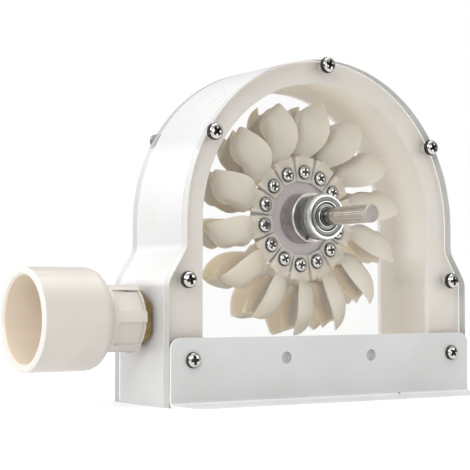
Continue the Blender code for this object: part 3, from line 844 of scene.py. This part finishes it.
def build_nipple(finish):
    """The brass nipple, its hexagon turned down at the corners, with a thread that goes into the adapter."""
    near, far = NECK_END + GAP, HEX_END
    piece = hexagon("brass_nipple", near, far - near, HEX_RADIUS)
    roll(piece, math.radians(30))
    trim = along_inlet(
        "hexagon_trim", (near - 0.1 * MM, 15.3 * MM), (near + 0.9 * MM, 17.1 * MM),
        (far - 0.5 * MM, 17.1 * MM), (far + 0.1 * MM, 16.2 * MM))
    carve(piece, "INTERSECT", trim)
    place = near - THREAD_LENGTH
    threads = [(place - 0.7 * MM, THREAD_ROOT - 0.1 * MM)]
    while place < near - THREAD_PITCH:
        threads += [(place, THREAD_CREST), (place + THREAD_PITCH / 2, THREAD_ROOT)]
        place += THREAD_PITCH
    threads.append((near + 0.4 * MM, NECK_BORE - 0.6 * MM))
    outer_end = turned("outer_thread", "X", INLET_LINE, threads, ring=False)
    inner_end = rod("inner_spigot", "X", INLET_LINE, far - 0.4 * MM, NIPPLE_END - GAP, NIPPLE_RADIUS)
    bore = rod("nipple_bore", "X", INLET_LINE, near - 14 * MM, NIPPLE_END + 4 * MM, NIPPLE_BORE)
    carve(piece, "UNION", outer_end, inner_end)
    carve(piece, "DIFFERENCE", bore)
    soften(piece, 0.15 * MM, 2)
    dress(piece, finish, HOUSING, "brass", "hex_nipple")


def build_nozzle(finish):
    shoulder = NIPPLE_END + 8 * MM
    piece = turned("water_nozzle", "X", INLET_LINE, (
        (NIPPLE_END, NIPPLE_BORE), (NIPPLE_END, NOZZLE_RADIUS), (shoulder, NOZZLE_RADIUS),
        (shoulder + 0.8 * MM, NOZZLE_RADIUS - 0.8 * MM), (NOZZLE_TIP - 1 * MM, 5.9 * MM),
        (NOZZLE_TIP, 5.5 * MM), (NOZZLE_TIP, 3.5 * MM), (shoulder, NIPPLE_BORE)))
    soften(piece, 0.3 * MM)
    dress(piece, finish, HOUSING, "brass", "jet_nozzle")


# Bearings, shaft, hub and disc


def build_bearing(side, name, steel, shield, outside):
    """A ball bearing: outer ring and its pressed shields, and the inner ring on the shaft."""

    def ring(piece_name, outline, body, second, beyond, *node):
        """The second finish covers the faces that lie beyond a radius."""
        profile = [(side * (PLATE_FACE - depth * MM), radius * MM) for depth, radius in outline]
        piece = turned(piece_name, "Y", WHEEL_CENTRE, profile, steps=FINE_ROUND)
        cover(piece, steel)
        cover(piece, second, lambda item: beyond < min(
            math.hypot(vert.co.x, vert.co.z - AXIS_HEIGHT) for vert in item.verts))
        shade(piece, 30)
        dress(piece, None, body, "bearing_steel", *node)

    back_shield = [(BEARING_WIDTH / MM - depth, radius) for depth, radius in SHIELD]
    # The outside of the outer ring gets painted shade; the shields' outer parts and the inner ring's face get
    # painted shade and dark reflection.
    ring(name + "_outer_ring", OUTER_RING, HOUSING, outside, 12.97 * MM, name + "_bearing_outer")
    ring(name + "_shield_front", SHIELD, HOUSING, shield, 8.7 * MM)
    ring(name + "_shield_back", back_shield, HOUSING, shield, 8.7 * MM)
    ring(name + "_inner_ring", INNER_RING, ROTOR, shield, 5.8 * MM, name + "_bearing_inner")


def build_shaft(finish, ends):
    piece = turned("wheel_shaft", "Y", WHEEL_CENTRE, (
        (SHAFT_FRONT, SHAFT_RADIUS - 1 * MM), (SHAFT_FRONT + 0.9 * MM, SHAFT_RADIUS),
        (SHAFT_REAR - 0.9 * MM, SHAFT_RADIUS), (SHAFT_REAR, SHAFT_RADIUS - 1 * MM)),
        ring=False, steps=FINE_ROUND)
    soften(piece, 0.12 * MM, 2)
    cover(piece, finish)
    cover(piece, ends, lambda item: abs(item.normal.y) > 0.3)
    dress(piece, None, ROTOR, "shaft_steel", "shaft")


def build_hub(finish, sheen_face):
    bore, seat = SHAFT_RADIUS + 0.1 * MM, DISC_FRONT - 0.05 * MM
    piece = turned("wheel_hub", "Y", WHEEL_CENTRE, (
        (HUB_FRONT + 0.4 * MM, bore), (HUB_FRONT, bore + 0.4 * MM), (HUB_FRONT, HUB_RADIUS - 0.7 * MM),
        (HUB_FRONT + 0.5 * MM, HUB_RADIUS), (seat - 0.3 * MM, HUB_RADIUS), (seat, HUB_RADIUS - 0.3 * MM),
        (seat, HUB_SPIGOT_RADIUS), (DISC_BACK, HUB_SPIGOT_RADIUS), (DISC_BACK, bore)), steps=FINE_ROUND)
    across, up = HUB_HOLE
    hole = rod("hub_hole", "Y", (across, CASING_PLANE + HUB_FRONT, AXIS_HEIGHT + up), -2 * MM, 7 * MM,
               HUB_HOLE_RADIUS, 32)
    carve(piece, "DIFFERENCE", hole)
    soften(piece, 0.15 * MM, 2)
    cover(piece, finish)
    # The front face gets the painted sheen.
    cover(piece, sheen_face, lambda item: item.normal.y < -0.4
          and middle(item).y < CASING_PLANE + HUB_FRONT + 1 * MM)
    dress(piece, None, ROTOR, "hub_metal", "hub")


def build_disc(finish):
    bore = HUB_SPIGOT_RADIUS + 0.05 * MM
    piece = turned("wheel_disc", "Y", WHEEL_CENTRE, (
        (DISC_FRONT, bore), (DISC_FRONT, DISC_RADIUS), (DISC_BACK, DISC_RADIUS), (DISC_BACK, bore)),
        steps=112)
    soften(piece, 0.4 * MM)
    dress(piece, finish, ROTOR, "disc_plastic", "runner_disc")


# Screws


def screw_with_cross(steel, flank, recess):
    """A pan-head screw: head and shank turned, the cross cut with a tool that narrows downwards."""
    piece = turned("screw_pattern", "Z", (0.0, 0.0, 0.0), in_metres(SCREW_OUTLINE), ring=False, steps=48)
    cover(piece, steel)
    # The sides get a painted dark reflection.
    cover(piece, flank, lambda item: abs(item.normal.z) < 0.7)
    tool = primitive("cross_tool", "cube", (0.0, 0.0, CROSS_MIDDLE), size=1.0,
                     stretch=(CROSS_ARM, CROSS_ARM, CROSS_DEPTH))
    with editing(tool):
        choose("FACE", lambda item: abs(item.normal.z) < 0.5)
        bpy.ops.mesh.extrude_faces_move(TRANSFORM_OT_shrink_fatten={"value": CROSS_ARM})
        choose("VERT", lambda vert: vert.co.z < CROSS_MIDDLE)
        scale_by((0.5, 0.5, 1.0), (0.0, 0.0, CROSS_MIDDLE - CROSS_DEPTH / 2))
        face_outwards()
    # The cutter's faces pass painted shade to the recess.
    cover(tool, recess)
    apply(piece, "BOOLEAN", operation="DIFFERENCE", solver="EXACT", object=tool, material_mode="TRANSFER")
    bpy.data.objects.remove(tool, do_unlink=True)
    shade(piece, 35)
    return piece


def seat_screws(pattern):
    """Copies of the screw at each place: the plates' screws, the bracket's, and one on each bucket's tab."""

    def seat(name, body, at, turn, size=(1.0, 1.0, 1.0), about=0):
        place = Matrix.Translation(at) @ Matrix.Rotation(about, 4, "Z") @ Matrix.Rotation(RIGHT_ANGLE, 4, "X")
        twist = Matrix.Rotation(math.radians(turn), 4, "Z") @ Matrix.Diagonal((*size, 1.0))
        screw = copied(pattern, name, place @ twist)
        dress(screw, None, body, "bearing_steel")

    front, rear = CASING_PLANE - PLATE_FACE, CASING_PLANE + PLATE_FACE
    for i, (x, z) in enumerate(PLATE_SCREWS):
        turn = PLATE_SCREW_TURNS[i]
        seat(f"front_plate_screw_{i + 1}", HOUSING, (x, front, z), turn, FRONT_SCREW_SIZE)
        seat(f"rear_plate_screw_{i + 1}", HOUSING, (x, rear, z), turn, about=math.pi)
    for i, (x, z) in enumerate(BRACKET_SCREWS):
        face = front - GAP - BRACKET_THICKNESS
        seat(f"bracket_screw_{i + 1}", HOUSING, (x, face, z), BRACKET_SCREW_TURNS[i], BRACKET_SCREW_SIZE)
    for i in range(BUCKETS):
        x = TAB_SCREW_RADIUS * math.cos(bucket_angle(i))
        z = AXIS_HEIGHT + TAB_SCREW_RADIUS * math.sin(bucket_angle(i))
        face = CASING_PLANE + TAB_FRONT + SCREW_SEAT_DEPTH
        seat(f"bucket_screw_{i + 1:02d}", ROTOR, (x, face, z), BUCKET_SCREW_TURN * i, BUCKET_SCREW_SIZE)
    bpy.data.objects.remove(pattern, do_unlink=True)


# Buckets


def bucket_angle(i):
    return FIRST_BUCKET_ANGLE - 2 * math.pi * i / BUCKETS


def sunk(share, depth):
    return depth * (1 - share ** DOME_POWER) ** DOME_ROUNDNESS


def draw_cup(depth, base):
    """Draws the selected rim into a cup: each ring smaller and deeper than the last, down to a point."""
    centre_along, centre_out = LOBE_CENTRE
    before, level = 1.0, 0.0
    for share in DOME_SHARES:
        draw_out(0.0, 0.0, sunk(share, depth) - level)
        level = sunk(share, depth)
        scale_by(share / before, (centre_along, centre_out, base + level))
        before = share
    draw_out(0.0, 0.0, depth - level)
    bpy.ops.mesh.merge(type="CENTER")


def outer_rim():
    """The rim's points, held out so that the smoothed curve still passes through the measured ones."""
    points = [Vector(point) * MM for point in LOBE_RIM]
    held = []
    for i, point in enumerate(points):
        near = (points[i - 1] + points[(i + 1) % len(points)]) / 2
        shift = (point - near) * RIM_HOLD
        if point.y == 0.0:
            shift.y = 0.0
        held.append(point + shift)
    return held


def inner_rim(rim):
    """The rim's inner edge, a wall's thickness in from the outer one."""
    points = []
    for i, point in enumerate(rim):
        before, after = rim[i - 1], rim[(i + 1) % len(rim)]
        edge = Vector((after.x - before.x, after.y - before.y)).normalized()
        if point.y > 0.0:
            along, out = point.x + LOBE_WALL * edge.y, point.y - LOBE_WALL * edge.x
        else:
            along = point.x + LOBE_WALL * (LOBE_CENTRE[0] - point.x) / SPLITTER_REACH
            out = SPLITTER_HALF_WALL
        points.append(Vector((along, out, point.z + RIM_STEP)))
    return points


def rim_circle(name, rim):
    """A circle whose points are moved out to the rim, then drawn into a cup."""
    piece = primitive(name, "circle", vertices=len(rim))
    with editing(piece) as bm:
        for vert, point in zip(bm.verts, rim):
            vert.co = point
        bmesh.update_edit_mesh(piece.data)
        bpy.ops.transform.edge_crease(value=RIM_CREASE)
        draw_cup(LOBE_DEPTH, MEAN_RIM_HEIGHT)
        face_outwards()
    return piece


def lobe_core():
    """The filled inside of both lobes, a little smaller, that trims the root."""
    piece = rim_circle("lobe_core", outer_rim())
    with editing(piece):
        choose("EDGE", lambda edge: edge.is_boundary)
        bpy.ops.mesh.edge_face_add()
        face_outwards()
        bpy.ops.transform.shrink_fatten(value=-0.6 * MM)
    apply(piece, "SUBSURF", levels=2, render_levels=2)
    apply(piece, "MIRROR", use_axis=(False, True, False), use_mirror_merge=False)
    return piece


def mean_height(verts):
    return sum(vert.co.z for vert in verts) / len(verts)


def on_splitter_back(face):
    """Tells the faces under the splitter's ridge, where the two lobes are joined."""
    ridge = [vert for vert in face.verts if abs(vert.co.y) < 0.01 * MM]
    others = [vert for vert in face.verts if vert not in ridge]
    return len(ridge) == 2 and mean_height(others) - mean_height(ridge) > 2 * MM


def double_cup():
    """Two lobes side by side: one is drawn outside and inside, then mirrored and joined at the splitter."""
    rim = outer_rim()
    inside = inner_rim(rim)
    piece = rim_circle("bucket_pattern", rim)
    with editing(piece):
        choose("EDGE", lambda edge: edge.is_boundary)
        draw_out(0.0, 0.0, 0.0)
        bm = bmesh.from_edit_mesh(piece.data)
        for vert in bm.verts:
            if vert.select:
                nearest = min(range(len(rim)), key=lambda i: (rim[i] - vert.co).length)
                vert.co = inside[nearest]
        bmesh.update_edit_mesh(piece.data)
        bpy.ops.transform.edge_crease(value=RIM_CREASE)
        draw_cup(LOBE_DEPTH - LOBE_WALL - RIM_STEP, MEAN_RIM_HEIGHT + RIM_STEP)
        face_outwards()
        choose("FACE", on_splitter_back)
        bpy.ops.mesh.delete(type="FACE")
    apply(piece, "MIRROR", use_axis=(False, True, False), use_mirror_merge=True, merge_threshold=0.02 * MM)
    with editing(piece):
        choose("EDGE", lambda edge: edge.is_boundary and all(abs(vert.co.y) > NEAR for vert in edge.verts))
        bpy.ops.mesh.bridge_edge_loops()
        bpy.ops.mesh.select_all(action="SELECT")
        bpy.ops.mesh.fill_holes(sides=0)
        face_outwards()
    apply(piece, "SUBSURF", levels=2, render_levels=2)
    return piece


def bucket_root():
    """The thick root behind the tab, widening into the backs of the lobes."""
    (wide, tall), (end_wide, end_tall) = ROOT_START_SIZE, ROOT_END_SIZE
    start = DISC_RADIUS + 2 * GAP
    end = start + ROOT_LENGTH
    piece = primitive("neck", "cube", ((start + end) / 2, 0.0, 0.0), size=1.0,
                      stretch=(ROOT_LENGTH, wide * MM, tall * MM))
    with editing(piece):
        choose("VERT", lambda vert: vert.co.x < (start + end) / 2)
        bpy.ops.transform.translate(value=(0.0, 0.0, ROOT_START_SHIFT))
        choose("VERT", lambda vert: vert.co.x > (start + end) / 2)
        scale_by((1.0, end_wide / wide, end_tall / tall), (end, 0.0, 0.0))
        bpy.ops.transform.translate(value=(0.0, 0.0, ROOT_END_SHIFT))
    round_edges(piece, 1.2 * MM, 3)
    return piece


def bucket_tab():
    """The flat tab with a seat for its screw."""
    length = TAB_OUTER_RADIUS - TAB_INNER_RADIUS
    front, back = TAB_FRONT - BUCKET_MIDDLE, DISC_FRONT - 0.05 * MM - BUCKET_MIDDLE
    piece = primitive("tab", "cube", (TAB_INNER_RADIUS + length / 2, (front + back) / 2, 0.0), size=1.0,
                      stretch=(length, back - front, 2 * TAB_INNER_HALF_WIDTH))
    with editing(piece):
        choose("VERT", lambda vert: vert.co.x > TAB_INNER_RADIUS + length / 2)
        scale_by((1.0, 1.0, TAB_OUTER_HALF_WIDTH / TAB_INNER_HALF_WIDTH), (TAB_OUTER_RADIUS, 0.0, 0.0))
    round_edges(piece, 0.35 * MM, 2)
    seat = rod("screw_seat", "Y", (TAB_SCREW_RADIUS, front, 0.0), -2 * MM, SCREW_SEAT_DEPTH,
               SCREW_SEAT_RADIUS, 48)
    carve(piece, "DIFFERENCE", seat)
    return piece


def build_buckets(finish):
    pattern = double_cup()
    root = bucket_root()
    carve(root, "DIFFERENCE", lobe_core())
    carve(pattern, "UNION", root, bucket_tab())
    shade(pattern, 42)
    pattern.data.transform(Matrix.Translation((0.0, BUCKET_MIDDLE, 0.0)))
    for i in range(BUCKETS):
        place = Matrix.Translation(WHEEL_CENTRE) @ Matrix.Rotation(-bucket_angle(i), 4, "Y")
        bucket = copied(pattern, f"wheel_bucket_{i + 1:02d}", place)
        dress(bucket, finish, ROTOR, "bucket_plastic", f"bucket_{i + 1:02d}")
    bpy.data.objects.remove(pattern, do_unlink=True)


# The studio

MIDDLE_OF_UNIT = (0.0, CASING_PLANE, 95 * MM)
CAMERA_PLACE = (-0.48111, -0.61362, 0.05876)
CAMERA_TURN = (math.radians(92.41), 0.0, math.radians(-33.6))
LENS, FRAME_WIDTH = 108.47, 36.0
DARK_SIDE = (-0.70, -0.71, 0.02)
FLOOR_RADIUS = 0.9
GLOW_CENTRE = (40 * MM, CASING_PLANE, 0.0)
SOFTBOXES = (
    ("left_softbox", (-1.35, 0.05, 0.8), (0.7, 0.7), 1.0),
    ("top_softbox", (0.1, 0.1, 1.5), (1.4, 1.4), 16),
    ("front_softbox", (-1.15, -1.0, 0.75), (0.7, 0.7), 10.0),
    ("right_softbox", (1.0, -1.25, 0.25), (0.6, 0.6), 2.6),
    ("low_softbox", (0.1, -1.6, 0.35), (0.8, 0.5), 3.5),
    ("rear_softbox", (-0.7, 1.3, 0.45), (0.8, 0.8), 4.0),
)


def build_floor():
    """A wide pale floor that fades into the white surround."""
    floor = primitive("floor", "circle", vertices=96, radius=FLOOR_RADIUS, fill_type="NGON")
    finish = Finish("pale_floor", Roughness=0.6)
    grain = finish.noise(30 * MM, 4.0)
    finish.feed(Base_Color=finish.between(grain, (0.90, 0.90, 0.90), (0.88, 0.88, 0.88)),
                Roughness=0.55 + 0.1 * grain)
    glow = finish.node("ShaderNodeEmission", {}, {"Color": (1.0, 1.0, 1.0), "Strength": 1.2})
    far = finish.step(finish.distance(GLOW_CENTRE), 0.09, 0.23)
    finish.show(far, finish.body, glow)
    cover(floor, finish)


def build_softbox(name, at, size, power):
    lamp = bpy.data.lights.new(name, "AREA")
    lamp.shape = "RECTANGLE"
    lamp.size, lamp.size_y = size
    lamp.energy = power
    item = bpy.data.objects.new(name, lamp)
    item.location = at
    item.rotation_euler = (Vector(MIDDLE_OF_UNIT) - Vector(at)).to_track_quat("-Z", "Y").to_euler()
    bpy.context.scene.collection.objects.link(item)


def build_surround():
    """White to the camera; as a light it is brighter from above and the left, and dark from one side."""
    world = bpy.data.worlds.new("studio")
    bpy.context.scene.world = world
    world.use_nodes = True
    sky = Nodes(world.node_tree, "Generated")
    towards = sky.vector("DOT_PRODUCT", sky.place, DARK_SIDE, output="Value")
    light = (sky.step(sky.along("Z"), 0.0, 0.7, 0.3, 0.9, "LINEAR") * sky.step(towards, 0.78, 0.94, 1.0, 0.04)
             * sky.step(sky.along("X"), -0.9, 0.6, 1.35, 0.65, "LINEAR"))
    seen = sky.node("ShaderNodeLightPath", output="Is Camera Ray")
    level = sky.node("ShaderNodeMix", {}, {0: seen, 2: light, 3: 1.0})
    background = sky.tree.nodes["Background"]
    background.inputs["Color"].default_value = (1.0, 1.0, 1.0, 1.0)
    sky.tree.links.new(level.source, background.inputs["Strength"])
    bpy.context.scene.view_settings.view_transform = "Standard"


def build_camera():
    data = bpy.data.cameras.new("camera")
    data.lens, data.sensor_width = LENS, FRAME_WIDTH
    data.clip_start, data.clip_end = 0.05, 30.0
    camera = bpy.data.objects.new("camera", data)
    camera.location = CAMERA_PLACE
    camera.rotation_euler = CAMERA_TURN
    bpy.context.scene.collection.objects.link(camera)
    bpy.context.scene.camera = camera


build_camera()
for light in SOFTBOXES:
    build_softbox(*light)
build_surround()
build_floor()

build_casing(white_plastic(), inner_plastic(), flange_plastic())
clear = clear_face()
build_plate("front_window_plate", -1, "front_plate", clear, front_edge(), blind_hole_painted_shade())
build_plate("rear_window_plate", 1, "rear_plate", clear, rear_edge())
build_bracket(bracket_paint("grey_bracket_paint", (0.53, 0.535, 0.53), (0.505, 0.51, 0.50)),
              # Painted highlight on the bracket's edges.
              bracket_edge_painted_highlight(),
              # A lighter copy of the grey paint for the foot: painted light.
              bracket_paint("bracket_foot_painted_light", (0.69, 0.695, 0.69), (0.66, 0.665, 0.66)))

nipple_brass = brass()
build_adapter(cream_pvc())
build_nipple(nipple_brass)
build_nozzle(nipple_brass)

steels = bearing_steels()
build_bearing(-1, "front", *steels)
build_bearing(1, "rear", *steels)
build_shaft(shaft_steel(), shaft_end_steel())
build_hub(hub_metal(), hub_face_metal())
build_disc(disc_plastic())
build_buckets(bucket_plastic())
seat_screws(screw_with_cross(screw_steel(), flank_steel(), recess_steel()))
